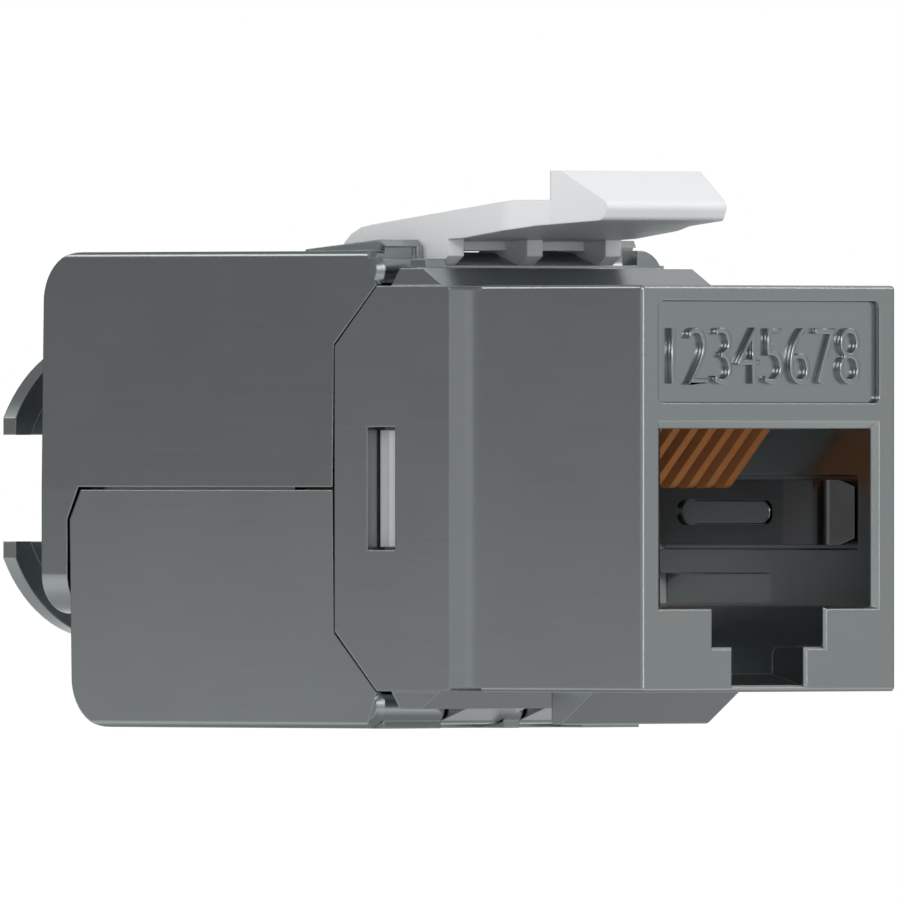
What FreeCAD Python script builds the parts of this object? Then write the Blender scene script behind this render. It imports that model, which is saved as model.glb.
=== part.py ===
"""Shielded tool-free keystone jack, die-cast housing with two hinged rear covers.

Working axes: X runs across the jack, Y runs from the port face to the cable
collar, and Z is up from the parting plane of the two covers, on which the
cable's centre line lies. All sizes are millimetres. The finished pieces are
shifted so that the origin is the centre of the overall box's bottom face.
"""
import os
from math import radians, sin, sqrt, tan

import FreeCAD
import Part
from FreeCAD import Vector

# Housing: a front block that fills the panel opening and a wider body behind it
block_width = 14.4
block_height = 16.2
block_length = 9.03
body_width = 15.5
body_length = 16.77
flare_length = 1.27
flare_angle = 30.0
flare_radius = 1.6
flare_groove = 0.15
rear_face_height = 11.4
edge_radius = 0.15

# Plug port, from the port face inwards
port_width = 11.96
port_top = 2.39
port_bottom = -4.69
port_depth = 12.3
keyway_width = 6.3
keyway_drop = 1.61
tab_keyway_width = 4.06
tab_keyway_floor = 0.28
tab_keyway_depth = 8.3
tab_wall = 1.85
tab_wall_corner = 0.35
tab_ramp_start = 0.25
tab_ramp_rise = 0.4
port_bevel = 0.3
port_bevel_depth = 0.2
step_bevel = 0.12
step_bevel_depth = 0.1
port_front_wall = 1.3
side_relief_start = 5.8
side_relief_depth = 0.65
side_relief_drop = 1.29
side_relief_height = 1.21

# Shallow panel above the port
panel_width = 12.55
panel_bottom = 3.41
panel_top = 7.49
panel_depth = 0.47
panel_corner = 0.3

# Cavity at the back of the housing, and the snap windows in its sides
cavity_side_wall = 1.0
cavity_lip = 0.5
window_length = 1.59
window_height = 4.92
window_rear_margin = 1.84

# Fixed catch under the front block, and the raised bars on top and bottom
catch_width = 8.24
catch_drop = 1.32
catch_rear = 8.13
catch_flat = 0.6
catch_slope = 1.83
bar_rise = 0.7
bar_front = 10.76
bar_front_slope = 1.15
bar_flat = 1.23
bar_rear_slope = 0.5
bar_inset = 0.08
guard_half = 6.75
guard_front = 12.6
guard_thickness = 0.4
guard_rise = 0.14
lug_length = 0.85
low_lug_width = 1.1
low_lug_rise = 0.38
tall_lug_width = 1.5
tall_lug_rise = 0.74
tall_lug_corner = 1.35

# Hinges of the covers
hinge_setback = 1.72
pin_radius = 0.4
pin_fit = 0.03
barrel_radius = 0.8
barrel_clearance = 0.11
hinge_running_fit = 0.05
knuckle_radius = 0.74
rib_width = 0.88
rib_spacing = 4.46
hinge_side_gap = 0.12

# Covers
cover_overhang = 0.05
cover_draft = 0.15
cover_wall = 0.85
upper_rise = 0.793
lower_rise = 0.893
parting_gap = 0.12
cover_gap = 0.1
cover_corner = 1.95
cover_edge = 0.25
upper_rear_face = 33.45
upper_rear_wall = 1.45
lower_rear_wall = 0.95
rear_wall_gap = 0.15
lip_run = 0.65
lip_drop = 1.25
leg_drop = 5.05
leg_width = 2.2
leg_corner = 1.6
ridge_margin = 0.56
ridge_rise = 0.45
ridge_setback = 0.55
ridge_length = 4.8
ridge_edge = 0.28
ridge_end_slant = 0.24
finger_pocket_depth = 0.15
finger_pocket_margin = 0.34
notch_length = 4.45
press_rib_width = 0.8
press_rib_spacing = 5.8
press_rib_reach = 3.6
press_gap = 0.15
tongue_thickness = 0.55
tongue_rise = 0.6
tongue_root = 1.0
tongue_gap = 0.05
tongue_setback = 0.45

# Cable collar, one half on each cover
cable_radius = 4.1
neck_radius = 5.05
flange_radius = 6.1
flange_half_width = 5.4
flange_thickness = 0.72
collar_length = 4.65
collar_slot = 4.3

# Latch lever
lever_width = 9.8
lever_nose_width = 6.57
lever_height = 2.0
lever_stop_rise = 1.16
lever_stop_length = 0.45
lever_stop_rear = 8.24
lever_nose_front = 5.4
lever_taper_start = 10.0
lever_taper = 0.8
lever_lift = 0.82
tail_length = 4.0
rib_front = 1.87

# Insert: contact carrier, board, termination block and wiring cap
insert_fit = 0.05
contact_pitch = 1.02
contact_count = 8
contact_width = 0.43
contact_thickness = 0.42
contact_bend = 0.5
contact_slope = 46.0
contact_tip = 6.1
contact_entry = 4.04
contact_cover = 0.5
comb_clearance = 0.05
comb_depth = 6.7
arm_width = 11.0
board_thickness = 1.2
block_flange = 2.68
block_flange_overhang = 0.3
nub_recess = 0.35
nub_ramp = 0.55
spring_height = 2.6
spring_top = 0.35
spring_thickness = 0.18
spring_bulge = 0.62
spring_recess = 0.47
spring_margin = 0.18
spring_lip = 0.93
spring_free_end = 1.3
spring_peak = 2.5
spring_kink = 5.43
spring_slot_start = 6.0
spring_slot_margin = 0.9
spring_slot_half = 0.52
spring_boss_gap = 0.07
spring_boss_height = 0.28
cap_gap = 0.15
cap_length = 5.9
cap_width = 12.4
cap_height = 13.0
cap_entry_width = 8.4
blade_width = 1.6
blade_thickness = 0.36
blade_length = 5.0
blade_slot = 0.34
blade_margin = 0.6
blade_pitch = 3.0
blade_fit = 0.08
guide_radius = 0.6
guide_length = 4.0
guide_offset = 5.25

# Derived places
block_half = block_width / 2
body_half = body_width / 2
cover_half = body_half + cover_overhang
half_height = block_height / 2
rear_half = rear_face_height / 2
chamfer_start = body_length - (half_height - rear_half)
keyway_bottom = port_bottom - keyway_drop
tab_keyway_bottom = -half_height + tab_keyway_floor
hinge_y = body_length - hinge_setback
hinge_z = body_length + rear_half + sqrt(2) * (barrel_radius + barrel_clearance) - hinge_y
upper_height = hinge_z + upper_rise
lower_height = hinge_z + lower_rise
leg_inner = cover_half - leg_width
ridge_half = cover_half - ridge_margin
cover_front = body_length + cover_gap
cover_diagonal = hinge_y + hinge_z - sqrt(2) * barrel_radius
lower_rear_face = upper_rear_face - upper_rear_wall - rear_wall_gap
collar_end = upper_rear_face + collar_length
cavity_half = body_half - cavity_side_wall
cavity_height = rear_half - cavity_lip
contact_run = cavity_height - contact_cover
blade_row = cavity_height - blade_margin
spring_middle = spring_top - spring_height / 2
spring_slot_end = port_depth - spring_slot_margin
window_rear = body_length - window_rear_margin
board_rear = body_length - insert_fit - 0.2
board_front = board_rear - board_thickness
block_rear = body_length + block_flange
cap_front = block_rear + cap_gap
cap_rear = cap_front + cap_length
bar_top = half_height + bar_rise
rib_inner = rib_spacing - rib_width / 2
finger_inner = rib_spacing + rib_width / 2 + hinge_side_gap
overall_depth = lower_height
MIDDLE = Vector(0, -collar_end / 2, overall_depth)


def corner_arc(before, corner, after, radius):
    """Tangent arc that rounds one corner, as its two ends and its middle."""
    back = (before - corner).normalize()
    ahead = (after - corner).normalize()
    half_angle = back.getAngle(ahead) / 2
    reach = radius / tan(half_angle)
    centre = corner + (back + ahead).normalize() * (radius / sin(half_angle))
    middle = centre + (corner - centre).normalize() * radius
    return corner + back * reach, middle, corner + ahead * reach


def outline(points, lift):
    """Closed wire through (u, v) points; a third value rounds that corner."""
    corners = [lift(point[0], point[1]) for point in points]
    starts, ends, edges = [], [], []
    for index, point in enumerate(points):
        corner = corners[index]
        if len(point) < 3 or point[2] <= 0:
            starts.append(corner)
            ends.append(corner)
            continue
        before = corners[index - 1]
        after = corners[(index + 1) % len(points)]
        start, middle, end = corner_arc(before, corner, after, point[2])
        starts.append(start)
        ends.append(end)
        edges.append(Part.Arc(start, middle, end).toShape())
    for index, end in enumerate(ends):
        start = starts[(index + 1) % len(points)]
        if (start - end).Length > 1e-6:
            edges.append(Part.makeLine(end, start))
    return Part.Wire(Part.__sortEdges__(edges))


def prism(points, axis, start, end):
    """Outline extruded along X, Y or Z; its (u, v) are the other two axes."""
    lifts = {
        "X": lambda u, v: Vector(start, u, v),
        "Y": lambda u, v: Vector(u, start, v),
        "Z": lambda u, v: Vector(u, v, start),
    }
    ways = {"X": Vector(1, 0, 0), "Y": Vector(0, 1, 0), "Z": Vector(0, 0, 1)}
    face = Part.Face(outline(points, lifts[axis]))
    return face.extrude(ways[axis] * (end - start))


def box(x_span, y_span, z_span):
    """Box between two values on each axis."""
    size = [high - low for low, high in (x_span, y_span, z_span)]
    return Part.makeBox(*size, Vector(x_span[0], y_span[0], z_span[0]))


def rod(radius, x_span, y, z):
    """Cylinder along X."""
    length = x_span[1] - x_span[0]
    return Part.makeCylinder(radius, length, Vector(x_span[0], y, z), Vector(1, 0, 0))


def tube_way(radius, y_span, x=0.0, z=0.0):
    """Cylinder along Y."""
    length = y_span[1] - y_span[0]
    return Part.makeCylinder(radius, length, Vector(x, y_span[0], z), Vector(0, 1, 0))


def joined(*shapes):
    """One solid from pieces that touch or overlap."""
    return shapes[0].multiFuse(list(shapes[1:])).removeSplitter()


def without(shape, *tools):
    """Shape with the tools cut away."""
    return shape.cut(list(tools)).removeSplitter()


def both_sides(shape):
    """Shape and its mirror image across the YZ plane."""
    return [shape, shape.mirror(Vector(), Vector(1, 0, 0))]


def both_faces(shape):
    """Shape and its mirror image across the parting plane."""
    return [shape, shape.mirror(Vector(), Vector(0, 0, 1))]


def rounded(shape, radius, wanted):
    """Fillet on the edges whose middle the test accepts."""
    edges = [edge for edge in shape.Edges if wanted(edge.CenterOfMass, edge)]
    return shape.makeFillet(radius, edges)


def rectangle(half_width, low, high):
    """Four corners of a rectangle centred on X = 0."""
    return [(-half_width, low), (half_width, low), (half_width, high), (-half_width, high)]


def ribbon(path, thickness, axis, start, end):
    """Strip of even thickness that follows (u, v, bend radius) points."""
    spots = [Vector(point[0], point[1], 0) for point in path]
    steps = [(after - before).normalize() for before, after in zip(spots, spots[1:])]
    normals = [Vector(-step.y, step.x, 0) for step in steps]
    left, right = [], []
    for index, spot in enumerate(spots):
        first = normals[max(index - 1, 0)]
        last = normals[min(index, len(normals) - 1)]
        mitre = (first + last) * (thickness / (2 * (1 + first.dot(last))))
        bend = path[index][2] if len(path[index]) > 2 else 0
        turn = first.cross(last).z
        side = thickness / 2 if turn > 0 else -thickness / 2
        left_bend = bend - side if bend else 0
        right_bend = bend + side if bend else 0
        left.append((spot.x + mitre.x, spot.y + mitre.y, left_bend))
        right.append((spot.x - mitre.x, spot.y - mitre.y, right_bend))
    return prism(left + right[::-1], axis, start, end)


def funnel(half_width, low, high, side_bevel, low_bevel, depth):
    """Bevelled mouth of a rectangular hole in the port face, as wide above as at the sides."""
    wide = rectangle(half_width + side_bevel, low - low_bevel, high + side_bevel)
    narrow = rectangle(half_width, low, high)
    mouth = outline(wide, lambda u, v: Vector(u, 0, v))
    throat = outline(narrow, lambda u, v: Vector(u, depth, v))
    return Part.makeLoft([mouth, throat], True, True)


def housing_shell():
    """Outside of the housing: block, flare, wide body and rear chamfers."""
    flare_end = block_length + flare_length
    step = body_half - block_half
    slope = tan(radians(flare_angle))
    bend_y = flare_end - step / slope
    plan = [(-block_half, 0), (block_half, 0), (block_half, bend_y, flare_radius),
            (body_half, flare_end), (body_half, body_length), (-body_half, body_length),
            (-body_half, flare_end), (-block_half, bend_y, flare_radius)]
    side = [(0, -half_height), (chamfer_start, -half_height), (body_length, -rear_half),
            (body_length, rear_half), (chamfer_start, half_height), (0, half_height)]
    shell = prism(plan, "Z", -half_height, half_height)
    shell = shell.common(prism(side, "X", -body_half, body_half))

    def on_front_block(middle, edge):
        at_front = middle.y < 0.01
        long_edge = middle.y < block_length and abs(middle.x) > block_half - 0.01
        return at_front or (long_edge and abs(middle.z) > half_height - 0.01)

    shell = rounded(shell, edge_radius, on_front_block)
    groove = box((-body_half, body_half), (block_length, flare_end),
                 (half_height - flare_groove, half_height + 1))
    return without(shell, *both_faces(groove))


def obround(start, end, middle, half):
    """Long rounded slot or pad between two (u) ends, as outline points."""
    corner = half * 0.96
    low, high = middle - half, middle + half
    return [(start, low, corner), (end, low, corner), (end, high, corner), (start, high, corner)]


def housing_bars():
    """Cross bars on the top and bottom faces."""
    rear = bar_front + bar_front_slope + bar_flat
    side = [(bar_front, half_height), (bar_front, half_height - 0.5),
            (rear + bar_rear_slope, half_height - 0.5), (rear + bar_rear_slope, half_height),
            (rear, bar_top), (bar_front + bar_front_slope, bar_top)]
    half = body_half - bar_inset
    return both_faces(prism(side, "X", -half, half))


def hinge_guard():
    """Low wall before the hinge, with a low lug on the left and a tall round one."""
    rear = guard_front + guard_thickness
    wall = box((-guard_half, guard_half), (guard_front, rear), (half_height, bar_top + guard_rise))
    low_top = bar_top + low_lug_rise
    low_inner = low_lug_width - guard_half
    low_lug = [(-guard_half, half_height), (low_inner + 0.1, half_height),
               (low_inner, low_top), (-guard_half, low_top)]
    tall_top = bar_top + tall_lug_rise
    tall_inner = guard_half - tall_lug_width
    tall_lug = [(tall_inner, half_height), (guard_half, half_height),
                (guard_half, tall_top, tall_lug_corner), (tall_inner, tall_top)]
    lugs = [prism(lug, "Y", guard_front, guard_front + lug_length) for lug in (low_lug, tall_lug)]
    return [wall] + lugs


def fixed_catch():
    """Fixed keystone catch below the front block."""
    low = -half_height - catch_drop
    flat_start = catch_rear - catch_flat
    side = [(flat_start - catch_slope, -half_height), (flat_start, low, 0.4),
            (catch_rear, low, 0.08), (catch_rear, -half_height + 0.3),
            (flat_start - catch_slope, -half_height + 0.3)]
    return prism(side, "X", -catch_width / 2, catch_width / 2)


def knuckle(start, end):
    """Housing knuckle around the upper hinge axis, with its web to the body."""
    web_front = bar_front + bar_front_slope + bar_flat
    web = [(web_front, half_height - 0.3), (web_front, bar_top),
           (hinge_y, hinge_z + knuckle_radius), (hinge_y, hinge_z),
           (hinge_y - knuckle_radius * 0.7, hinge_z - knuckle_radius * 0.7),
           (chamfer_start - 0.2, half_height - 0.3)]
    return joined(prism(web, "X", start, end),
                  rod(knuckle_radius, (start, end), hinge_y, hinge_z))


def tab_way():
    """Way for the plug's tab: a ramped slot in the front wall, wider behind it."""
    tab_half = tab_keyway_width / 2
    key_half = keyway_width / 2
    top = keyway_bottom + 0.1
    floor = tab_keyway_bottom + tab_ramp_rise
    side = [(-1, tab_keyway_bottom), (tab_ramp_start, tab_keyway_bottom), (tab_wall, floor),
            (tab_wall, top), (-1, top)]
    slot = prism(side, "X", -tab_half, tab_half)
    ledge = [(0, floor - 1), (tab_wall, floor - 1), (tab_wall, keyway_bottom, tab_wall_corner),
             (0, keyway_bottom)]
    behind = box((-key_half, key_half), (tab_wall / 2, tab_keyway_depth), (floor, top))
    return slot.fuse(behind.cut(prism(ledge, "X", -key_half, key_half)))


def port_hole():
    """Everything cut from the port face: plug space, keyways and bevels."""
    half = port_width / 2
    key_half = keyway_width / 2
    tab_half = tab_keyway_width / 2
    return [
        box((-half, half), (-1, port_depth), (port_bottom, port_top)),
        box((-key_half, key_half), (-1, port_depth), (keyway_bottom, port_bottom + 0.1)),
        tab_way(),
        funnel(half, port_bottom, port_top, port_bevel, step_bevel, port_bevel_depth),
        funnel(key_half, keyway_bottom, port_bottom, step_bevel, step_bevel, step_bevel_depth),
        funnel(tab_half, tab_keyway_bottom, keyway_bottom, step_bevel, step_bevel, step_bevel_depth),
    ]


def spring_pocket():
    """Recess in the port's side wall that a ground spring lies in."""
    half = port_width / 2
    top = spring_top + spring_margin
    return box((half - 0.1, half + spring_recess), (spring_lip, port_depth),
               (top - spring_height - 2 * spring_margin, top))


def spring_boss():
    """Pad on the side wall that stands through the slot of a ground spring."""
    outer = port_width / 2 + spring_recess
    half = spring_slot_half - spring_boss_gap
    pad = obround(spring_slot_start + spring_boss_gap, spring_slot_end - 0.6, spring_middle, half)
    return prism(pad, "X", outer - spring_boss_height, outer + 0.1)


def side_relief():
    """Shallow wedge cut low in the port's side wall, deepest at the back."""
    half = port_width / 2
    plan = [(half - 0.1, side_relief_start), (half, side_relief_start),
            (half + side_relief_depth, port_depth), (half - 0.1, port_depth)]
    top = port_bottom + side_relief_drop
    return prism(plan, "Z", top - side_relief_height, top)


def insert_space():
    """Space that the contact carrier and the board fill from the back."""
    arm_half = arm_width / 2 + insert_fit
    arm_space = box((-arm_half, arm_half), (port_front_wall, port_depth + 0.1),
                    (port_top - 0.1, cavity_height))
    rear_space = box((-cavity_half, cavity_half), (port_depth, body_length + 1),
                     (-cavity_height, cavity_height))
    return [arm_space, rear_space]


def front_housing():
    """Die-cast housing in one piece."""
    ends = [(-rib_spacing + rib_width / 2 + hinge_side_gap, -rib_width / 2 - hinge_side_gap),
            (rib_width / 2 + hinge_side_gap, rib_spacing - rib_width / 2 - hinge_side_gap)]
    knuckles = [part for start, end in ends for part in both_faces(knuckle(start, end))]
    body = joined(housing_shell(), *housing_bars(), *hinge_guard(), fixed_catch(), *knuckles)
    reach = rib_spacing
    pin_ways = both_faces(rod(pin_radius + pin_fit, (-reach, reach), hinge_y, hinge_z))
    panel = [(x, z, panel_corner) for x, z in rectangle(panel_width / 2, panel_bottom, panel_top)]
    window = box((cavity_half - 0.5, body_half + 1), (window_rear - window_length, window_rear),
                 (-window_height / 2, window_height / 2))
    hollow = without(body, *port_hole(), *both_sides(spring_pocket()), *both_sides(side_relief()),
                     *insert_space(), *pin_ways, prism(panel, "Y", -1, panel_depth), *both_sides(window))
    return joined(hollow, *both_sides(spring_boss()))


def contact_places():
    """X of each spring contact, from left to right."""
    middle = (contact_count - 1) / 2
    return [(index - middle) * contact_pitch for index in range(contact_count)]


def contact_slots():
    """Comb slots that the spring contacts swing in, and grooves above the arm."""
    half = contact_width / 2 + comb_clearance
    floor = contact_run - contact_thickness / 2
    slots = []
    for x in contact_places():
        slots.append(box((x - half, x + half), (port_front_wall, comb_depth),
                         (port_top - 1, cavity_height + 1)))
        slots.append(box((x - half, x + half), (comb_depth - 0.1, board_rear),
                         (floor, floor + contact_thickness + comb_clearance)))
    return slots


def contact_carrier():
    """Plastic carrier: contact comb over the port, back wall and snap nubs."""
    gap = insert_fit
    arm_half = arm_width / 2
    arm = box((-arm_half, arm_half), (port_front_wall + gap, port_depth + 1),
              (port_top + gap, cavity_height - gap))
    wall_half = cavity_half - gap
    wall = box((-wall_half, wall_half), (port_depth + gap, board_front),
               (-cavity_height + gap, cavity_height - gap))
    nub_front = window_rear - window_length + 0.15
    nub_rear = window_rear - 0.1
    nub_out = body_half - nub_recess
    plan = [(wall_half - 0.3, nub_front), (nub_out, nub_front), (nub_out, nub_front + nub_ramp),
            (nub_out - 0.3, nub_front + nub_ramp + 0.15), (nub_out - 0.3, nub_rear),
            (wall_half - 0.3, nub_rear)]
    nub_half = window_height / 2 - 0.12
    nubs = both_sides(prism(plan, "Z", -nub_half, nub_half))
    return without(joined(arm, wall, *nubs), *contact_slots())


def spring_contact(x):
    """Bent wire of one plug contact, from the board to its curled tip."""
    slope = tan(radians(contact_slope))
    corner = contact_entry - (contact_run - port_top + 0.11) / slope
    tip_z = contact_run - (contact_tip - corner) * slope
    path = [(board_front, contact_run), (corner, contact_run, contact_bend),
            (contact_tip, tip_z, 0.35), (contact_tip + 0.65, tip_z + 0.3)]
    return ribbon(path, contact_thickness, "X", x - contact_width / 2, x + contact_width / 2)


def ground_spring():
    """Right-hand ground spring: a bowed leaf with a long slot."""
    outer = port_width / 2 + spring_recess
    flat = outer - spring_thickness / 2
    inner = port_width / 2 - spring_bulge
    low = spring_top - spring_height
    path = [(flat, port_depth), (flat, spring_kink, 0.8), (inner, spring_peak, 0.9),
            (outer - 0.25, spring_free_end)]
    leaf = ribbon(path, spring_thickness, "Z", low, spring_top)
    end = spring_free_end - 0.1
    long_cut, short_cut = 0.55, 0.3
    side = [(end - 1, low), (end + long_cut, low), (end, low + short_cut),
            (end, spring_top - short_cut), (end + long_cut, spring_top), (end - 1, spring_top)]
    clipped = without(leaf, prism(side, "X", inner - 1, outer + 1))
    slot = obround(spring_slot_start, spring_slot_end, spring_middle, spring_slot_half)
    return without(clipped, prism(slot, "X", inner - 1, outer + 1))


def circuit_board():
    """Board between the spring contacts and the termination blades."""
    half = cavity_half - insert_fit
    height = cavity_height - insert_fit
    return box((-half, half), (board_front, board_rear), (-height, height))


def blade_places():
    """X and Z of each termination blade, the top row first."""
    columns = [(index - 1.5) * blade_pitch for index in range(contact_count // 2)]
    return [(x, z) for z in (blade_row, -blade_row) for x in columns]


def blade_way(x, z, y_span, fit):
    """Slot for one termination blade."""
    half = blade_width / 2 + fit
    thin = blade_thickness / 2 + fit
    return box((x - half, x + half), y_span, (z - thin, z + thin))


def idc_block():
    """Termination block that the blades stand in, with two guide pegs."""
    half = cavity_half - insert_fit
    spigot_height = cavity_height - insert_fit
    spigot = box((-half, half), (board_rear, body_length + 0.1), (-spigot_height, spigot_height))
    flange_half = rear_half + block_flange_overhang
    flange = prism([(x, z, 0.4) for x, z in rectangle(half, -flange_half, flange_half)],
                   "Y", body_length, block_rear)
    pegs = both_sides(tube_way(guide_radius, (block_rear - 0.5, block_rear + guide_length), guide_offset))
    tower_half = blade_width / 2 + 0.35
    towers = [box((x - tower_half, x + tower_half), (block_rear - 0.5, block_rear - 0.1), (z - 0.7, z + 0.7))
              for x, z in blade_places()]
    ways = [blade_way(x, z, (board_rear - 1, block_rear + 1), 0.02) for x, z in blade_places()]
    recess_half = blade_row - 2.0
    recess = box((-half + 1.2, half - 1.2), (block_rear - 1.2, block_rear + 1), (-recess_half, recess_half))
    return without(joined(without(joined(spigot, flange), recess), *towers, *pegs), *ways)


def idc_contact(x, z):
    """Forked termination blade."""
    start, end = board_rear, board_rear + blade_length
    half = blade_width / 2
    slot = blade_slot / 2
    fork = [(x - half, start), (x + half, start), (x + half, end - 0.5), (x + half - 0.35, end),
            (x + slot + 0.2, end), (x + slot, end - 0.5), (x + slot, start + 2.0, slot * 0.9),
            (x - slot, start + 2.0, slot * 0.9), (x - slot, end - 0.5), (x - slot - 0.2, end),
            (x - half + 0.35, end), (x - half, end - 0.5)]
    return prism(fork, "Z", z - blade_thickness / 2, z + blade_thickness / 2)


def wire_manager():
    """Wiring cap that holds the eight wires over the blades."""
    half = cap_width / 2
    tall = cap_height / 2
    body = prism([(x, z, 0.8) for x, z in rectangle(half, -tall, tall)], "Y", cap_front, cap_rear)
    pockets = [blade_way(x, z, (cap_front - 1, board_rear + blade_length + 0.4), blade_fit)
               for x, z in blade_places()]
    channels = [box((x - 0.5, x + 0.5), (cap_front + 1.0, cap_front + 2.3), (-tall - 1, tall + 1))
                for x, z in blade_places() if z > 0]
    entry_half = blade_row - 2.2
    entry = box((-cap_entry_width / 2, cap_entry_width / 2), (cap_front + 1.0, cap_rear + 1),
                (-entry_half, entry_half))
    guides = both_sides(tube_way(guide_radius + blade_fit, (cap_front - 1, block_rear + guide_length + 0.4),
                                 guide_offset))
    return without(body, *pockets, *channels, entry, *guides)


def cover_blank(height, rear_face, lip):
    """Cover before its hinge and collar, above the parting plane."""
    base = parting_gap / 2
    side = [(cover_front, base), (cover_front, cover_diagonal - cover_front),
            (hinge_y - barrel_radius / sqrt(2), hinge_z - barrel_radius / sqrt(2)),
            (hinge_y, height), (rear_face, height, cover_corner)] + lip
    narrow = cover_half - cover_draft
    end = [(-narrow, height, cover_edge), (-cover_half, 0), (-cover_half, -leg_drop, leg_corner),
           (-leg_inner, -leg_drop), (-leg_inner, base), (leg_inner, base), (leg_inner, -leg_drop),
           (cover_half, -leg_drop, leg_corner), (cover_half, 0), (narrow, height, cover_edge)]
    outside = prism(side, "X", -cover_half, cover_half)
    return outside.common(prism(end, "Y", 0, rear_face))


def barrels(inner, outer):
    """Hinge barrels on both sides, chamfered at their outer ends as the covers' edges are rounded."""
    root = outer - cover_edge
    end = Part.makeCone(barrel_radius, barrel_radius - cover_edge, cover_edge,
                        Vector(root, hinge_y, hinge_z), Vector(1, 0, 0))
    return [*both_sides(rod(barrel_radius, (inner, root), hinge_y, hinge_z)), *both_sides(end)]


def press_ribs(height):
    """Ribs inside a cover that press the wiring cap home."""
    start = cap_rear + press_gap
    inner = height - cover_wall
    middle = press_rib_spacing / 2
    rib = box((middle - press_rib_width / 2, middle + press_rib_width / 2),
              (start, start + press_rib_width), (inner - press_rib_reach, inner + 0.1))
    return both_sides(rib)


def collar_half(rear_face):
    """Half of the cable collar above the parting plane, before its bore."""
    neck = tube_way(neck_radius, (rear_face - 0.1, collar_end))
    flange = tube_way(flange_radius, (collar_end - flange_thickness, collar_end))
    kept = box((-flange_half_width, flange_half_width), (rear_face - 1, collar_end + 1),
               (collar_slot / 2, flange_radius + 1))
    return joined(neck, flange).common(kept)


def cover(height, rear_face, rear_wall, lip):
    """Shared form of both covers, hinge fingers not yet freed."""
    blank = cover_blank(height, rear_face, lip)
    inner_half = cover_half - cover_wall
    hollow = box((-inner_half, inner_half), (0, rear_face - rear_wall), (-leg_drop - 1, height - cover_wall))
    hinges = barrels(0, cover_half - cover_draft)
    return joined(without(blank, hollow), *hinges, *press_ribs(height), collar_half(rear_face))


def upper_cover():
    """Upper cover, with the legs that close behind the lower one."""
    inside = upper_rear_face - upper_rear_wall
    base = parting_gap / 2
    lip = [(upper_rear_face, -leg_drop), (inside, -leg_drop), (inside, -lip_drop),
           (inside - lip_run, base)]
    shell = cover(upper_height, upper_rear_face, upper_rear_wall, lip)
    ridge_front = hinge_y - ridge_setback
    ridge_top = upper_height + ridge_rise
    floor = upper_height - cover_wall
    ridge = [(ridge_front, hinge_z), (ridge_front, ridge_top - ridge_edge),
             (ridge_front + ridge_edge, ridge_top), (ridge_front + ridge_length - 0.2, upper_height + 0.08),
             (ridge_front + ridge_length, upper_height - 0.1), (hinge_y + 1, floor), (hinge_y + 1, hinge_z)]
    root = ridge_half - ridge_end_slant
    ends = [(-ridge_half, ridge_top), (-root, upper_height), (-root, hinge_z),
            (root, hinge_z), (root, upper_height), (ridge_half, ridge_top)]
    slanted = prism(ridge, "X", -ridge_half, ridge_half).common(prism(ends, "Y", 0, upper_rear_face))
    pocket = box((finger_inner + finger_pocket_margin, ridge_half + 1),
                 (ridge_front - 1, ridge_front + finger_pocket_depth),
                 (hinge_z + barrel_radius / 2 + 0.1, ridge_top - ridge_edge))
    notch = box((-finger_inner, finger_inner), (0, hinge_y + notch_length), (0, ridge_top + 1))
    pin_way = rod(pin_radius + hinge_running_fit, (-pin_half(), pin_half()), hinge_y, hinge_z)
    bore = tube_way(cable_radius, (inside - 1, collar_end + 1))
    return without(joined(shell, slanted), *both_sides(pocket), notch, pin_way, bore)


def side_tongue():
    """Tongue on a lower side wall that closes the parting gap from inside."""
    inner = cover_half - cover_wall
    span = (block_rear + tongue_setback, lower_rear_face - lower_rear_wall - 0.1)
    base = parting_gap / 2
    blade = box((inner - tongue_gap - tongue_thickness, inner - tongue_gap), span,
                (-tongue_rise, tongue_root))
    root = box((inner - tongue_thickness, inner + 0.1), span, (base + 0.1, tongue_root))
    return joined(blade, root)


def lower_cover():
    """Lower cover, built upright and mirrored, with pockets for the knuckles."""
    base = parting_gap / 2
    lip = [(lower_rear_face, lip_drop, 0), (lower_rear_face - lip_run, base)]
    shell = cover(lower_height, lower_rear_face, lower_rear_wall, lip)
    ridge_front = hinge_y - ridge_setback
    floor = lower_height - cover_wall
    ridge = [(ridge_front, hinge_z), (ridge_front, lower_height), (hinge_y + 1, lower_height),
             (hinge_y + 1, hinge_z)]
    shell = joined(shell, prism(ridge, "X", -ridge_half, ridge_half), *both_sides(side_tongue()))
    pocket = box((rib_width / 2, rib_inner), (0, hinge_y + barrel_radius + hinge_side_gap),
                 (floor - 2, lower_height + 1))
    pin_way = rod(pin_radius + hinge_running_fit, (-pin_half(), pin_half()), hinge_y, hinge_z)
    bore = tube_way(cable_radius, (lower_rear_face - 2, collar_end + 1))
    upright = without(shell, *both_sides(pocket), pin_way, bore)
    return upright.mirror(Vector(), Vector(0, 0, 1))


def pin_half():
    """Half of a hinge pin's length."""
    return cover_half - cover_wall + 0.2


def hinge_pin(side):
    """Steel hinge pin, above or below the housing."""
    reach = pin_half() - 0.1
    return rod(pin_radius, (-reach, reach), hinge_y, side * hinge_z)


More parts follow.
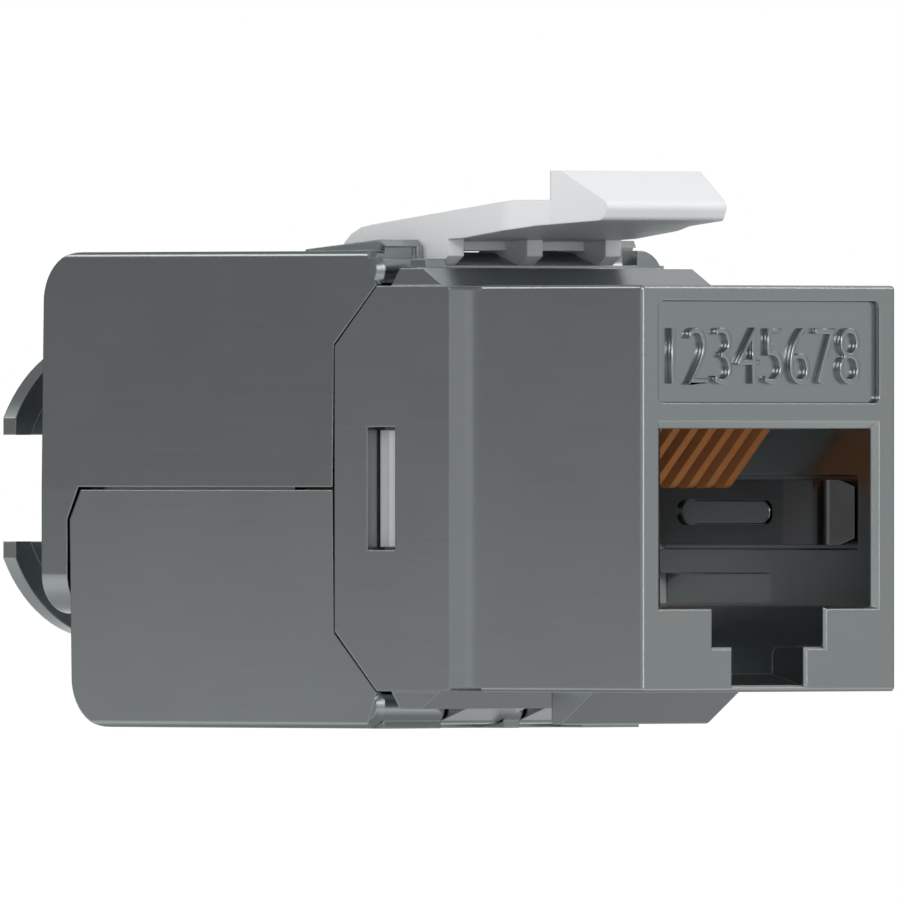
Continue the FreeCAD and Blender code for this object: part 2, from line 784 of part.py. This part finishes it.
def latch_lever():
    """Releasable latch lever on the upper hinge pin."""
    base = hinge_z + lever_lift
    tail = hinge_y + tail_length
    neck = hinge_y - rib_front
    stop_top = base + lever_height + lever_stop_rise
    stop_front = lever_stop_rear - lever_stop_length
    side = [(hinge_y - 0.65, base), (tail - 0.08, base), (tail + 0.03, base + 0.32),
            (tail - 0.37, base + 0.67), (tail - 0.95, base + 0.94), (tail - 1.6, base + 1.05),
            (lever_stop_rear + 1.31, base + lever_height), (lever_stop_rear, base + lever_height),
            (lever_stop_rear, stop_top), (stop_front, stop_top),
            (lever_nose_front + 0.25, base + 1.83, 0.3), (lever_nose_front + 0.56, base + 1.18, 0.3),
            (lever_stop_rear + 0.52, base + 0.97), (lever_stop_rear + 1.44, base + 0.83),
            (neck - 0.8, base + 0.48), (neck, base + 0.44), (hinge_y - 0.65, base + 0.38)]
    half = lever_width / 2
    nose = lever_nose_width / 2
    shoulder = half - lever_taper
    plan = [(-half, tail + 1), (-half, lever_taper_start, 1.0), (-shoulder, lever_stop_rear),
            (-nose, lever_nose_front), (nose, lever_nose_front), (shoulder, lever_stop_rear),
            (half, lever_taper_start, 1.0), (half, tail + 1)]
    plate = prism(side, "X", -half, half).common(prism(plan, "Z", base - 1, base + 5))
    rib = [(neck, base + 0.6), (neck, hinge_z + 0.6), (hinge_y - 0.6, hinge_z - 0.35),
           (hinge_y, hinge_z), (hinge_y + 0.75, hinge_z + 0.2), (hinge_y + 0.9, base + 0.2),
           (hinge_y - 0.5, base + 0.6)]
    ribs = []
    for x in (-rib_spacing, 0, rib_spacing):
        span = (x - rib_width / 2, x + rib_width / 2)
        ribs.append(prism(rib, "X", *span))
        ribs.append(rod(barrel_radius, span, hinge_y, hinge_z))
    way = rod(pin_radius + hinge_running_fit, (-lever_width, lever_width), hinge_y, hinge_z)
    return without(joined(plate, *ribs), way)


def build():
    """Every piece by its node name."""
    pieces = {
        "front_housing": front_housing(),
        "contact_carrier": contact_carrier(),
        "circuit_board": circuit_board(),
        "idc_block": idc_block(),
        "wire_manager": wire_manager(),
        "upper_cover": upper_cover(),
        "lower_cover": lower_cover(),
        "upper_hinge_pin": hinge_pin(1),
        "lower_hinge_pin": hinge_pin(-1),
        "latch_lever": latch_lever(),
    }
    right, left = both_sides(ground_spring())
    pieces["ground_spring_right"] = right
    pieces["ground_spring_left"] = left
    for number, x in enumerate(contact_places(), 1):
        pieces[f"spring_contact_{number}"] = spring_contact(x)
    for number, (x, z) in enumerate(blade_places(), 1):
        pieces[f"idc_contact_{number}"] = idc_contact(x, z)
    return pieces


os.makedirs("parts", exist_ok=True)
for name, shape in build().items():
    shape.translate(MIDDLE)
    print(name, shape.isValid(), len(shape.Solids), round(shape.Volume, 3))
    shape.Solids[0].exportStep(f"parts/{name}.step")
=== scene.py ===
"""Dress the shielded keystone jack: cast metal, moulded plastic and spring contacts.

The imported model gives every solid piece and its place. This script adds the
finishes, the raised contact numbers and the plate under them, a plain studio
and a camera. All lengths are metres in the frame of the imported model.
"""
from __future__ import annotations

import logging
import math
from dataclasses import dataclass
from enum import Enum

import bmesh
import bpy
from mathutils import Euler, Matrix, Vector

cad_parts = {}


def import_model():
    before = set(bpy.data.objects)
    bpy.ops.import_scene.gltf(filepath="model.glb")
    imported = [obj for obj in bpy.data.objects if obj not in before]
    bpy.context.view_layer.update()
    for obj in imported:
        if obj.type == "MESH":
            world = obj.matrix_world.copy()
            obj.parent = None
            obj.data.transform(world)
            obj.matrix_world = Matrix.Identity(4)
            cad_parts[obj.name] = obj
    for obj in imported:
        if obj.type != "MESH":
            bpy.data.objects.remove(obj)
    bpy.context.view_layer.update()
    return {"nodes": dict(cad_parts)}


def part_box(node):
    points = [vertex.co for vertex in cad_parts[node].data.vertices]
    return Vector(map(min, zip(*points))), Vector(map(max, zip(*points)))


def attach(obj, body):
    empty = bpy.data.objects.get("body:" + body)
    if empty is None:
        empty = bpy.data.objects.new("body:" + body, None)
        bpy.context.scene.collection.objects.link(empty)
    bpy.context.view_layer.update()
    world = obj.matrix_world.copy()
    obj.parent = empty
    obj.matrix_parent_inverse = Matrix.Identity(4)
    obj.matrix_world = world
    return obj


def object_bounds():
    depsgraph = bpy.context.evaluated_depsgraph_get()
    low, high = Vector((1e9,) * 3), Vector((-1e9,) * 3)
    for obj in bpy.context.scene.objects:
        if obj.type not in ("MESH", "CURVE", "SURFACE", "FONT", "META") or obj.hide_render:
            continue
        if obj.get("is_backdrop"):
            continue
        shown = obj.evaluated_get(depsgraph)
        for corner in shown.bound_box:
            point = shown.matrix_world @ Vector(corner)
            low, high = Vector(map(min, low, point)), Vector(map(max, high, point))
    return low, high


LOG = logging.getLogger("keystone_jack")
MM = 0.001
WIRES = range(1, 9)
NOISE_ROUGHNESS = 0.55
NOISE_MIDDLE = (0.3, 0.7)
EDGE_SAMPLES = 6
BUMP_DEPTH = 0.02 * MM
# Places of the Mix node's two colours among its inputs, and of their mix among its outputs.
MIX_FIRST, MIX_SECOND, MIX_RESULT = 6, 7, 2
PAPER_COLOUR = (0.8, 0.8, 0.8, 1.0)
LIGHT_COLOUR = (1.0, 1.0, 1.0, 1.0)
# Watts for each square metre of a lamp's face at level 1.
LAMP_POWER = 4.0


class Field:
    """A shader value that adds its own Math nodes when it is used in a sum."""

    def __init__(self, tree: "Tree", socket: bpy.types.NodeSocket | None) -> None:
        """Wrap one output socket of a tree."""
        self.tree = tree
        self.socket = socket

    def math(self, operation: str, *others: "Field | float", clamp: bool = False) -> "Field":
        """Return a Math node's value with this field as its first input.

        Args:
            operation: The Math node's operation.
            others: The other inputs, in order.
            clamp: Whether the result is kept between 0 and 1.

        Returns:
            The result as a new field.
        """
        settings = {"operation": operation, "use_clamp": clamp}
        return self.tree.node("ShaderNodeMath", settings, dict(enumerate((self, *others))))

    def reflected(self, operation: str, other: float) -> "Field":
        """Return a Math node's value with this field as its second input."""
        return self.tree.node("ShaderNodeMath", {"operation": operation}, {0: other, 1: self})

    def __add__(self, other: "Field | float") -> "Field":
        """Add."""
        return self.math("ADD", other)

    def __radd__(self, other: float) -> "Field":
        """Add, with the number first."""
        return self.math("ADD", other)

    def __sub__(self, other: "Field | float") -> "Field":
        """Subtract."""
        return self.math("SUBTRACT", other)

    def __rsub__(self, other: float) -> "Field":
        """Subtract from a number."""
        return self.reflected("SUBTRACT", other)

    def __mul__(self, other: "Field | float") -> "Field":
        """Multiply."""
        return self.math("MULTIPLY", other)

    def __rmul__(self, other: float) -> "Field":
        """Multiply, with the number first."""
        return self.math("MULTIPLY", other)

    def ramp(self, low: float, high: float) -> "Field":
        """Return 0 at low and 1 at high, in a straight line and clamped."""
        return (self - low).math("DIVIDE", high - low, clamp=True)


class Tree:
    """Node tree of one material or of the surround."""

    def __init__(self, node_tree: bpy.types.NodeTree) -> None:
        """Start from an empty tree.

        Args:
            node_tree: The tree, whose nodes are cleared.
        """
        self.nodes = node_tree.nodes
        self.links = node_tree.links
        self.nodes.clear()

    def node(
        self,
        kind: str,
        settings: dict[str, object] | None = None,
        values: dict[int | str, object] | None = None,
        output: int | str = 0,
    ) -> Field:
        """Make one node, set it up and wire it.

        Args:
            kind: The node's type.
            settings: Attributes that are set first.
            values: Numbers, colours or fields for its inputs.
            output: The output that the returned field wraps.

        Returns:
            A field on the chosen output.
        """
        made = self.nodes.new(kind)
        for key, value in (settings or {}).items():
            setattr(made, key, value)
        for key, value in (values or {}).items():
            if isinstance(value, Field):
                self.links.new(value.socket, made.inputs[key])
            else:
                made.inputs[key].default_value = value
        return Field(self, made.outputs[output] if made.outputs else None)

    def place(self) -> Field:
        """Return the point's place on the object, in metres."""
        return self.node("ShaderNodeTexCoord", output="Object")

    def stretched(self, scale: tuple[float, float, float]) -> Field:
        """Return the place scaled by a different amount along each axis."""
        return self.node("ShaderNodeMapping", values={"Vector": self.place(), "Scale": scale})

    def noise(self, place: Field, scale: float, detail: float = 3.0) -> Field:
        """Return noise between 0 and 1."""
        values = {"Vector": place, "Scale": scale, "Detail": detail, "Roughness": NOISE_ROUGHNESS}
        return self.node("ShaderNodeTexNoise", values=values)

    def rounded(self, radius: float) -> Field:
        """Return the normal, turned near edges as if they were rounded."""
        return self.node("ShaderNodeBevel", {"samples": EDGE_SAMPLES}, {"Radius": radius})

    def bump(self, height: Field, strength: float, normal: Field) -> Field:
        """Return the normal, turned by a height between 0 and 1."""
        values = {"Strength": strength, "Distance": BUMP_DEPTH, "Height": height, "Normal": normal}
        return self.node("ShaderNodeBump", values=values)

    def blend(self, factor: Field | float, first: object, second: object) -> Field:
        """Return a mix of two colours."""
        values = {0: factor, MIX_FIRST: first, MIX_SECOND: second}
        return self.node("ShaderNodeMix", {"data_type": "RGBA"}, values, output=MIX_RESULT)

    def principled(self, sockets: dict[str, object]) -> None:
        """Close a material's tree with a Principled shader and an output.

        Args:
            sockets: Values or fields of the shader's sockets by name.
        """
        shader = self.node("ShaderNodeBsdfPrincipled", values=sockets)
        self.node("ShaderNodeOutputMaterial", values={"Surface": shader})


def new_material(name: str) -> tuple[bpy.types.Material, Tree]:
    """Return a new material and its empty tree.

    Args:
        name: The material's name.

    Returns:
        The material and its tree.
    """
    material = bpy.data.materials.new(name)
    material.use_nodes = True
    return material, Tree(material.node_tree)


def grey_tint(level: float, tint: tuple[float, float, float]) -> tuple[float, float, float, float]:
    """Return a tinted grey as a colour with full alpha."""
    return (level * tint[0], level * tint[1], level * tint[2], 1.0)


def shaded(colour: tuple[float, float, float], factor: float) -> tuple[float, float, float, float]:
    """Return a colour made darker or lighter, with full alpha."""
    return (*(min(part * factor, 1.0) for part in colour), 1.0)


@dataclass(frozen=True)
class CastMetal:
    """Satin nickel-plated die casting with a faint drawn grain along its length."""

    name: str
    level: float = 0.37
    tint: tuple[float, float, float] = (0.925, 1.0, 1.0)
    roughness: float = 0.25
    grain: float = 0.025
    edge: float = 0.08 * MM
    streak_shape: tuple[float, float, float] = (1300.0, 55.0, 2600.0)
    streak_scale: float = 3.0
    streak_detail: float = 4.0
    streak_share: float = 0.6
    streak_roughness: float = 0.03
    streak_bump: float = 0.006
    cloud_scale: float = 160.0
    cloud_roughness: float = 0.05

    def material(self) -> bpy.types.Material:
        """Make the material from long streaks and soft clouds.

        Returns:
            The new material.
        """
        material, tree = new_material(self.name)
        drawn = tree.stretched(self.streak_shape)
        streaks = tree.noise(drawn, self.streak_scale, self.streak_detail)
        clouds = tree.noise(tree.place(), self.cloud_scale)
        shade = streaks * self.streak_share + clouds * (1 - self.streak_share)
        dark = grey_tint(self.level * (1 - self.grain), self.tint)
        pale = grey_tint(self.level * (1 + self.grain), self.tint)
        smoothest = self.roughness - (self.cloud_roughness + self.streak_roughness) / 2
        rough = clouds * self.cloud_roughness + streaks * self.streak_roughness + smoothest
        tree.principled(
            {
                "Base Color": tree.blend(shade.ramp(*NOISE_MIDDLE), dark, pale),
                "Metallic": 1.0,
                "Roughness": rough,
                "Normal": tree.bump(streaks, self.streak_bump, tree.rounded(self.edge)),
            }
        )
        return material


@dataclass(frozen=True)
class MouldedPlastic:
    """Moulded plastic with a fine spark-eroded texture."""

    name: str
    colour: tuple[float, float, float]
    roughness: float = 0.4
    texture: float = 0.05
    edge: float = 0.1 * MM
    cloud_scale: float = 220.0
    cloud_shades: tuple[float, float] = (0.97, 1.02)
    cloud_roughness: float = 0.08
    skin_scale: float = 6500.0
    skin_detail: float = 2.0

    def material(self) -> bpy.types.Material:
        """Make the material from soft clouds and a fine skin.

        Returns:
            The new material.
        """
        material, tree = new_material(self.name)
        clouds = tree.noise(tree.place(), self.cloud_scale)
        skin = tree.noise(tree.place(), self.skin_scale, self.skin_detail)
        shades = (shaded(self.colour, factor) for factor in self.cloud_shades)
        smoothest = self.roughness - self.cloud_roughness / 2
        tree.principled(
            {
                "Base Color": tree.blend(clouds, *shades),
                "Roughness": clouds * self.cloud_roughness + smoothest,
                "Normal": tree.bump(skin, self.texture, tree.rounded(self.edge)),
            }
        )
        return material


@dataclass(frozen=True)
class PlatedStrip:
    """Thin plated strip metal, such as a contact, a blade or a leaf spring."""

    name: str
    colour: tuple[float, float, float]
    roughness: float = 0.25
    metallic: float = 1.0
    edge: float = 0.05 * MM
    mark_shape: tuple[float, float, float] = (2600.0, 300.0, 2600.0)
    mark_shades: tuple[float, float] = (0.94, 1.04)
    mark_roughness: float = 0.06

    def material(self) -> bpy.types.Material:
        """Make the material from faint marks along the strip.

        Returns:
            The new material.
        """
        material, tree = new_material(self.name)
        marks = tree.noise(tree.stretched(self.mark_shape), 1.0)
        shades = (shaded(self.colour, factor) for factor in self.mark_shades)
        smoothest = self.roughness - self.mark_roughness / 2
        tree.principled(
            {
                "Base Color": tree.blend(marks.ramp(*NOISE_MIDDLE), *shades),
                "Metallic": self.metallic,
                "Roughness": marks * self.mark_roughness + smoothest,
                "Normal": tree.rounded(self.edge),
            }
        )
        return material


class Finish(Enum):
    """Finishes of the jack's pieces."""

    HOUSING = CastMetal("cast_housing")
    COVER = CastMetal("cast_cover", level=0.355)
    WHITE = MouldedPlastic("white_plastic", (0.73, 0.745, 0.755), roughness=0.38)
    BLACK = MouldedPlastic("black_plastic", (0.02, 0.02, 0.021), roughness=0.3)
    GREY = MouldedPlastic("grey_plastic", (0.5, 0.51, 0.52), roughness=0.3)
    PALE = MouldedPlastic("pale_plastic", (0.62, 0.62, 0.6), roughness=0.45)
    BOARD = MouldedPlastic("board_green", (0.012, 0.09, 0.035), roughness=0.3)
    GOLD = PlatedStrip("contact_gold", (0.5, 0.2, 0.07), roughness=0.26, metallic=0.2)
    TIN = PlatedStrip("blade_tin", (0.62, 0.58, 0.52), roughness=0.3)
    # The leaf's dark grey base colour is painted shade: it stands in for the shade inside the port.
    LEAF_PAINTED_SHADE = PlatedStrip("spring_leaf_painted_shade", (0.17, 0.17, 0.175), roughness=0.14)
    STEEL = PlatedStrip("pin_steel", (0.42, 0.42, 0.42), roughness=0.28)


class Bench:
    """Where finishes are made once and pieces are dressed and put together."""

    def __init__(self, nodes: dict[str, bpy.types.Object]) -> None:
        """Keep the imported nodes, with no finish made yet."""
        self.nodes = nodes
        self.made: dict[Finish, bpy.types.Material] = {}

    def dress(self, finish: Finish, *names: str) -> None:
        """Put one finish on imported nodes.

        Args:
            finish: The finish that they get.
            names: The nodes' names.
        """
        for name in names:
            self.paint(self.nodes[name], finish)

    def paint(self, piece: bpy.types.Object, finish: Finish) -> None:
        """Give a piece one finish and report it.

        Args:
            piece: The piece, whose other materials are dropped.
            finish: The finish that it gets, which is made at its first use.
        """
        if finish not in self.made:
            self.made[finish] = finish.value.material()
        piece.data.materials.clear()
        piece.data.materials.append(self.made[finish])
        LOG.info("dressed %s with %s", piece.name, finish.value.name)

    def add(
        self, name: str, shape: bmesh.types.BMesh, body: str, slot: str, finish: Finish
    ) -> None:
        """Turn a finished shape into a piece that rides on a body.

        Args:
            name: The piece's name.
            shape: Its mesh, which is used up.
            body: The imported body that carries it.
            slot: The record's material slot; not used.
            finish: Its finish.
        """
        mesh = bpy.data.meshes.new(name)
        shape.to_mesh(mesh)
        shape.free()
        piece = bpy.data.objects.new(name, mesh)
        bpy.context.scene.collection.objects.link(piece)
        self.paint(piece, finish)
        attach(piece, body)


@dataclass
class FrontBlock:
    """Cast front block with its carrier, contacts, springs and raised contact numbers."""

    bench: Bench
    figures: str = "12345678"
    figure_height: float = 2.3 * MM
    row_width: float = 10.7 * MM
    row_middle: float = -0.15 * MM
    row_level: float = 14.87 * MM
    panel_size: tuple[float, float] = (12.53 * MM, 4.06 * MM)
    panel_level: float = 15.05 * MM
    panel_corner: float = 0.29 * MM
    panel_depth: float = 0.47 * MM
    plate_depth: float = 0.23 * MM
    rise: float = 0.225 * MM
    root: float = 0.03 * MM
    round_edge: float = 0.03 * MM
    thinning: float = 0.035 * MM
    corner_segments: int = 6
    edge_steps: int = 1
    curve_steps: int = 6
    weld: float = 0.001 * MM

    def build(self) -> None:
        """Dress the block's nodes and add the numbers."""
        contacts = [f"spring_contact_{number}" for number in WIRES]
        self.bench.dress(Finish.HOUSING, "front_housing")
        self.bench.dress(Finish.GREY, "contact_carrier")
        self.bench.dress(Finish.LEAF_PAINTED_SHADE, "ground_spring_left", "ground_spring_right")
        self.bench.dress(Finish.GOLD, *contacts)
        self.bench.add("number_plate", self.plate(), "housing", "die_cast", Finish.HOUSING)
        self.bench.add("contact_numbers", self.numbers(), "housing", "die_cast", Finish.HOUSING)

    def plate(self) -> bmesh.types.BMesh:
        """Make the plate at the bottom of the panel above the port.

        Returns:
            Its shape, with rounded corners, in its place.
        """
        shape = bmesh.new()
        width, height = self.panel_size
        thickness = self.panel_depth - self.plate_depth + self.root
        bmesh.ops.create_cube(shape, size=1.0)
        bmesh.ops.scale(shape, verts=shape.verts, vec=(width, thickness, height))
        corners = [edge for edge in shape.edges if self.depth_of(edge) > thickness / 2]
        bmesh.ops.bevel(
            shape,
            geom=corners,
            offset=self.panel_corner,
            segments=self.corner_segments,
            profile=0.5,
            affect="EDGES",
            material=-1,
        )
        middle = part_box("front_housing")[0][1] + self.plate_depth + thickness / 2
        bmesh.ops.translate(shape, verts=shape.verts, vec=(0.0, middle, self.panel_level))
        return shape

    @staticmethod
    def depth_of(edge: bmesh.types.BMEdge) -> float:
        """Return how far an edge reaches from front to back."""
        return abs(edge.verts[0].co.y - edge.verts[1].co.y)

    def numbers(self) -> bmesh.types.BMesh:
        """Make the row of raised numbers, one for each contact.

        Returns:
            Their shape, in its place on the plate.
        """
        text = bpy.data.curves.new("contact_numbers", "FONT")
        text.body = self.figures
        text.size = self.figure_height
        text.extrude = (self.rise + self.root) / 2 - self.round_edge
        text.bevel_depth = self.round_edge
        text.offset = -self.round_edge - self.thinning
        text.bevel_resolution = self.edge_steps
        text.resolution_u = self.curve_steps
        holder = bpy.data.objects.new("contact_numbers", text)
        bpy.context.scene.collection.objects.link(holder)
        bpy.context.view_layer.update()
        evaluated = holder.evaluated_get(bpy.context.evaluated_depsgraph_get())
        flat = bpy.data.meshes.new_from_object(evaluated)
        bpy.data.objects.remove(holder)
        shape = bmesh.new()
        shape.from_mesh(flat)
        bpy.data.meshes.remove(flat)
        bmesh.ops.remove_doubles(shape, verts=shape.verts, dist=self.weld)
        low, high = spread(shape)
        size = high - low
        fit = Matrix.Diagonal((self.row_width / size.x, self.figure_height / size.y, 1.0, 1.0))
        bmesh.ops.translate(shape, verts=shape.verts, vec=-(low + high) / 2)
        bmesh.ops.transform(shape, verts=shape.verts, matrix=fit)
        bmesh.ops.rotate(shape, verts=shape.verts, matrix=Matrix.Rotation(math.pi / 2, 3, "X"))
        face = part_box("front_housing")[0][1]
        middle = face + self.plate_depth + self.root - (self.rise + self.root) / 2
        bmesh.ops.translate(shape, verts=shape.verts, vec=(self.row_middle, middle, self.row_level))
        bmesh.ops.recalc_face_normals(shape, faces=shape.faces)
        return shape


def spread(shape: bmesh.types.BMesh) -> tuple[Vector, Vector]:
    """Measure the box round a shape.

    Args:
        shape: The mesh to measure.

    Returns:
        Its lowest and highest corner.
    """
    places = [vert.co for vert in shape.verts]
    low = Vector(min(place[axis] for place in places) for axis in range(3))
    high = Vector(max(place[axis] for place in places) for axis in range(3))
    return low, high


@dataclass
class CableCovers:
    """The two cast cover halves and the pins that they turn on."""

    bench: Bench

    def build(self) -> None:
        """Dress the covers and their pins."""
        self.bench.dress(Finish.COVER, "upper_cover", "lower_cover")
        self.bench.dress(Finish.STEEL, "upper_hinge_pin", "lower_hinge_pin")


@dataclass
class LatchLever:
    """The white snap lever on top."""

    bench: Bench

    def build(self) -> None:
        """Dress the lever."""
        self.bench.dress(Finish.WHITE, "latch_lever")


@dataclass
class WiringUnit:
    """Board, blade block, blades and the wire manager."""

    bench: Bench

    def build(self) -> None:
        """Dress the unit's nodes."""
        blades = [f"idc_contact_{number}" for number in WIRES]
        self.bench.dress(Finish.BOARD, "circuit_board")
        self.bench.dress(Finish.BLACK, "idc_block")
        self.bench.dress(Finish.PALE, "wire_manager")
        self.bench.dress(Finish.TIN, *blades)


@dataclass(frozen=True)
class Softbox:
    """One soft rectangular lamp, placed round the jack and aimed at it."""

    name: str
    azimuth: float
    elevation: float
    width: float
    height: float
    level: float
    distance: float = 0.8

    def build(self, aim: Vector) -> None:
        """Make the lamp, with a power that follows its level and the area of its face.

        Args:
            aim: The point that it looks at.
        """
        data = bpy.data.lights.new(self.name, "AREA")
        data.shape = "RECTANGLE"
        data.size, data.size_y = self.width, self.height
        data.energy = LAMP_POWER * self.level * self.width * self.height
        lamp = bpy.data.objects.new(self.name, data)
        way = Vector((0.0, -1.0, 0.0))
        way.rotate(Euler((-math.radians(self.elevation), 0.0, math.radians(self.azimuth))))
        lamp.location = aim + way * self.distance
        lamp.rotation_euler = (-way).to_track_quat("-Z", "Y").to_euler()
        lamp.visible_camera = False
        bpy.context.scene.collection.objects.link(lamp)


@dataclass
class Studio:
    """Pale floor, soft lamps, even surround and the camera."""

    view_width: float = 36.145 * MM
    distance: float = 1.7
    azimuth: float = -45.0
    aim: tuple[float, float, float] = (0.53 * MM, -0.53 * MM, 11.14 * MM)
    sensor: float = 36.0
    clip: tuple[float, float] = (0.05, 20.0)
    floor_radius: float = 5.0
    floor_segments: int = 96
    floor_gap: float = 23 * MM
    floor_white: float = 1.06
    floor_mirrored: float = 0.95
    floor_glow: float = 0.9
    floor_glow_near: float = 0.6
    floor_lift_near: float = 0.1
    # Glow that metal mirrors right under the jack: a painted shadow, which fades out over the reach
    # in shade.
    floor_painted_shadow: float = 0.38
    shade: tuple[float, float] = (30 * MM, 70 * MM)
    apron: tuple[float, float] = (170 * MM, 320 * MM)
    horizon: float = 0.24
    zenith: float = 0.3
    zenith_from: float = 0.6
    ambient: float = 0.7
    # Each lamp's name, azimuth, elevation, width, height and level, and the near one's distance.
    softboxes: tuple[Softbox, ...] = (
        Softbox("top_softbox", 0.0, 80.0, 0.6, 0.6, 0.38),
        Softbox("front_softbox", 45.0, 3.0, 0.5, 0.5, 0.33),
        Softbox("side_softbox", -84.0, 2.0, 0.4, 0.5, 0.27),
        Softbox("key_softbox", -32.0, 20.0, 0.3, 0.2, 7.0),
        Softbox("rear_softbox", -141.0, 30.0, 0.25, 0.25, 2.2),
        Softbox("right_softbox", 90.0, 45.0, 0.7, 0.7, 0.39),
        Softbox("edge_softbox", -45.0, 3.0, 0.2, 0.3, 0.5),
        Softbox("bounce_card", -135.0, -8.0, 0.25, 0.03, 0.16, 0.15),
        Softbox("glint_softbox", 53.0, 27.0, 0.15, 0.15, 3.5),
        Softbox("port_softbox", 0.0, 5.0, 0.4, 0.4, 2.0),
    )

    def build(self) -> None:
        """Make the whole studio."""
        self.camera()
        self.floor()
        self.world()
        for softbox in self.softboxes:
            softbox.build(Vector(self.aim))
            LOG.info("placed %s", softbox.name)

    def camera(self) -> None:
        """Make the long-lens camera and make it the scene's."""
        data = bpy.data.cameras.new("studio_camera")
        data.sensor_width = self.sensor
        data.lens = self.sensor * self.distance / self.view_width
        data.clip_start, data.clip_end = self.clip
        camera = bpy.data.objects.new("studio_camera", data)
        angle = math.radians(self.azimuth)
        back = Vector((math.sin(angle), -math.cos(angle), 0.0))
        camera.location = Vector(self.aim) + back * self.distance
        camera.rotation_euler = (-back).to_track_quat("-Z", "Y").to_euler()
        bpy.context.scene.collection.objects.link(camera)
        bpy.context.scene.camera = camera

    def floor(self) -> None:
        """Make the wide flat floor, low enough for the lower cover to swing open above it."""
        shape = bmesh.new()
        bmesh.ops.create_circle(
            shape, cap_ends=True, segments=self.floor_segments, radius=self.floor_radius
        )
        bmesh.ops.recalc_face_normals(shape, faces=shape.faces)
        mesh = bpy.data.meshes.new("studio_floor")
        shape.to_mesh(mesh)
        shape.free()
        floor = bpy.data.objects.new("studio_floor", mesh)
        floor.location.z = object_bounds()[0].z - self.floor_gap
        bpy.context.scene.collection.objects.link(floor)
        floor.data.materials.append(self.paper())
        floor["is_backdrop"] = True

    def paper(self) -> bpy.types.Material:
        """Make the floor's white paper, which looks white and keeps shadows; the glow that metal
        mirrors of it has a painted shadow under the jack.

        Returns:
            The new material.
        """
        material, tree = new_material("studio_paper")
        place = {0: tree.place()}
        away = tree.node("ShaderNodeVectorMath", {"operation": "LENGTH"}, place, "Value")
        # Painted shadow: the glow that metal mirrors is dimmer right under the jack and brighter
        # round it.
        rise = self.floor_mirrored - self.floor_painted_shadow
        glow_with_painted_shadow = away.ramp(*self.shade) * rise + self.floor_painted_shadow
        far = away.ramp(*self.apron)
        glossy = tree.node("ShaderNodeLightPath", output="Is Glossy Ray")
        seen = tree.node("ShaderNodeLightPath", output="Is Camera Ray")
        mirrored = far * self.horizon + (1 - far) * glow_with_painted_shadow
        lifted = (1 - far) * self.floor_lift_near + self.floor_white
        strength = seen * lifted + (1 - seen) * mirrored
        diffuse = tree.node("ShaderNodeBsdfDiffuse", values={"Color": PAPER_COLOUR})
        glow = tree.node("ShaderNodeEmission", values={"Color": LIGHT_COLOUR, "Strength": strength})
        glow_share = far * (self.floor_glow - self.floor_glow_near) + self.floor_glow_near
        factor = seen * glow_share + glossy
        shader = tree.node("ShaderNodeMixShader", values={0: factor, 1: diffuse, 2: glow})
        tree.node("ShaderNodeOutputMaterial", values={"Surface": shader})
        return material

    def world(self) -> None:
        """Make the surround: white where it is seen, darker low down where metal mirrors it."""
        world = bpy.data.worlds.new("studio_world")
        world.use_nodes = True
        bpy.context.scene.world = world
        tree = Tree(world.node_tree)
        way = tree.node("ShaderNodeTexCoord")
        up = tree.node("ShaderNodeSeparateXYZ", values={0: way}, output="Z")
        sky = up.ramp(0.0, self.zenith_from) * (self.zenith - self.horizon) + self.horizon
        seen = tree.node("ShaderNodeLightPath", output="Is Camera Ray")
        through = tree.node("ShaderNodeLightPath", output="Is Transmission Ray")
        glossy = tree.node("ShaderNodeLightPath", output="Is Glossy Ray")
        white = seen.math("MAXIMUM", through)
        strength = white + (1 - white) * (glossy * sky + (1 - glossy) * self.ambient)
        values = {"Color": LIGHT_COLOUR, "Strength": strength}
        back = tree.node("ShaderNodeBackground", values=values)
        tree.node("ShaderNodeOutputWorld", values={"Surface": back})


def main() -> None:
    """Build the scene, piece by piece."""
    logging.basicConfig(level=logging.INFO, format="%(name)s: %(message)s")
    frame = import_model()
    bpy.context.scene.view_settings.view_transform = "Standard"
    bench = Bench(frame["nodes"])
    for assembly in (FrontBlock(bench), CableCovers(bench), LatchLever(bench), WiringUnit(bench)):
        assembly.build()
    Studio().build()


if __name__ == "__main__":
    main()
